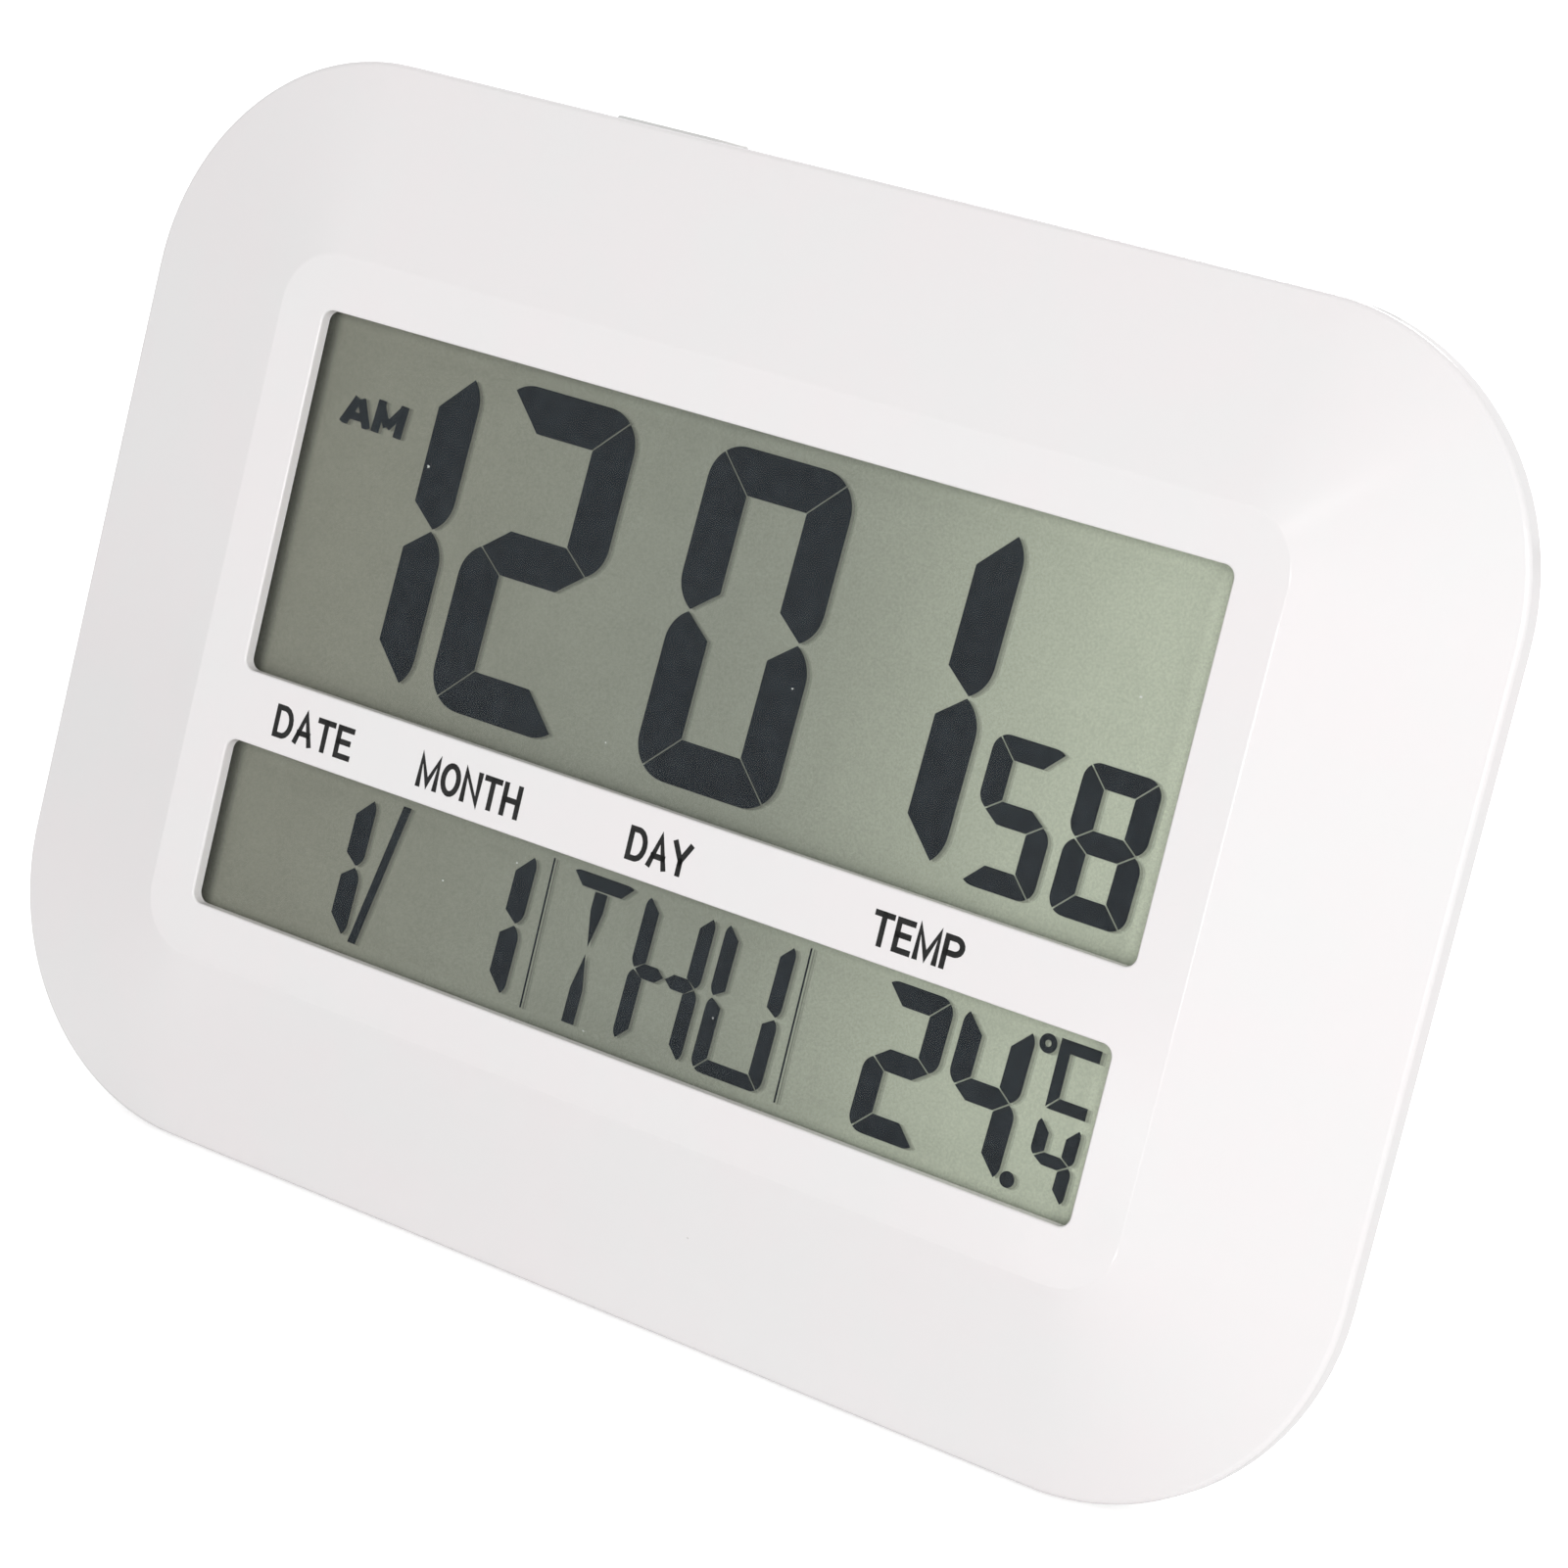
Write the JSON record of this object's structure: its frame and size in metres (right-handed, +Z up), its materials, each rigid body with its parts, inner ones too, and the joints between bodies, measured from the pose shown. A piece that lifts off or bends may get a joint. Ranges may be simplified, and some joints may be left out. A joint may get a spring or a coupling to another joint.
{
  "type": "digital alarm clock",
  "caption": "Large digital alarm clock with a sloping white bezel, split liquid crystal display, rear keys, snooze bar, battery bay, wall keyhole and fold-out leg.",
  "frame": {"origin": "table level, under the middle of the standing clock: centre of the base of its bounding box", "axes": "+X to the right seen from the front, -Y the way the display faces, +Z up; the clock leans back by 15 degrees on its open leg"},
  "size_m": [0.265, 0.066, 0.1844],
  "materials": {
    "case_white": "glossy white ABS",
    "cover_white": "fine textured white ABS",
    "leg_white": "fine textured white ABS",
    "key_white": "satin white ABS",
    "slider_black": "black acetal",
    "plunger_black": "black acetal",
    "switch_black": "black nylon",
    "zinc_steel": "zinc plated steel",
    "nickel_steel": "nickel plated spring steel",
    "foam_black": "closed cell foam",
    "polariser_film": "matt anti-glare film",
    "display_glass": "clear float glass",
    "seal_epoxy": "epoxy sealant",
    "segment_dark": "dark liquid crystal",
    "reflector_film": "grey green reflective film",
    "carrier_white": "white ABS",
    "strip_pink": "silicone connector strip",
    "board_green": "green solder mask",
    "chip_resin": "black epoxy resin",
    "capacitor_sleeve": "shrunk sleeve",
    "thermistor_bead": "black resin bead",
    "sounder_black": "black ABS",
    "disc_brass": "rolled brass",
    "cell_sleeve": "printed sleeve",
    "lead_black": "PVC insulation",
    "lead_red": "PVC insulation",
    "lead_grey": "PVC insulation",
    "pad_rubber": "anti-slip rubber"
  },
  "bodies": {
    "case": {"front_shell": "case_white", "rear_cover": "cover_white", "case_screws": "zinc_steel", "hanger_plate": "zinc_steel", "hanger_screws": "zinc_steel", "lcd_gasket": "foam_black", "front_polariser": "polariser_film", "lcd_front_glass": "display_glass", "lcd_edge_seal": "seal_epoxy", "lcd_segments": "segment_dark", "lcd_rear_glass": "display_glass", "rear_reflector": "reflector_film", "lcd_carrier": "carrier_white", "carrier_screws": "zinc_steel", "zebra_strip": "strip_pink", "main_board": "board_green", "board_screws": "zinc_steel", "chip_blob": "chip_resin", "crystal_can": "nickel_steel", "capacitors": "capacitor_sleeve", "thermistor": "thermistor_bead", "key_switches": "switch_black", "alarm_switch_body": "switch_black", "snooze_board": "board_green", "snooze_switch": "switch_black", "sounder_case": "sounder_black", "sounder_disc": "disc_brass", "cell_upper": "cell_sleeve", "cell_lower": "cell_sleeve", "contact_springs": "nickel_steel", "contact_plates": "nickel_steel", "lead_negative": "lead_black", "lead_positive": "lead_red", "sounder_leads": "lead_grey", "snooze_leads": "lead_grey"},
    "leg": {"stand_leg": "leg_white", "stand_pad": "pad_rubber", "stand_pins": "nickel_steel"},
    "door": {"battery_door": "cover_white"},
    "key_mode_button": {"key_mode": "key_white", "plunger_mode": "plunger_black"},
    "key_set_button": {"key_set": "key_white", "plunger_set": "plunger_black"},
    "key_up_button": {"key_up": "key_white", "plunger_up": "plunger_black"},
    "key_down_button": {"key_down": "key_white", "plunger_down": "plunger_black"},
    "snooze_button": {"snooze_bar": "key_white", "plunger_snooze": "plunger_black"},
    "slider": {"alarm_slider": "slider_black"}
  },
  "joints": [
    {"name": "leg_hinge", "type": "hinge", "parent": "case", "child": "leg", "pos_m": [0, 0.00796, 0.08837], "axis": [1, 0, 0], "range_deg": [-27.45, 0]},
    {"name": "door_hinge", "type": "hinge", "parent": "case", "child": "door", "pos_m": [0.07, 0.00039, 0.05334], "axis": [-1, 0, 0], "range_deg": [0, 90]},
    {"name": "mode_press", "type": "slide", "parent": "case", "child": "key_mode_button", "axis": [0, -0.9659, 0.2588], "range_m": [0, 0.0008], "stiffness_N_per_m": 400, "springref_m": -0.0005},
    {"name": "set_press", "type": "slide", "parent": "case", "child": "key_set_button", "axis": [0, -0.9659, 0.2588], "range_m": [0, 0.0008], "stiffness_N_per_m": 400, "springref_m": -0.0005},
    {"name": "up_press", "type": "slide", "parent": "case", "child": "key_up_button", "axis": [0, -0.9659, 0.2588], "range_m": [0, 0.0008], "stiffness_N_per_m": 400, "springref_m": -0.0005},
    {"name": "down_press", "type": "slide", "parent": "case", "child": "key_down_button", "axis": [0, -0.9659, 0.2588], "range_m": [0, 0.0008], "stiffness_N_per_m": 400, "springref_m": -0.0005},
    {"name": "snooze_press", "type": "slide", "parent": "case", "child": "snooze_button", "axis": [0, -0.2588, -0.9659], "range_m": [0, 0.0008], "stiffness_N_per_m": 500, "springref_m": -0.0005},
    {"name": "alarm_switch", "type": "slide", "parent": "case", "child": "slider", "axis": [1, 0, 0], "range_m": [0, 0.003]}
  ]
}
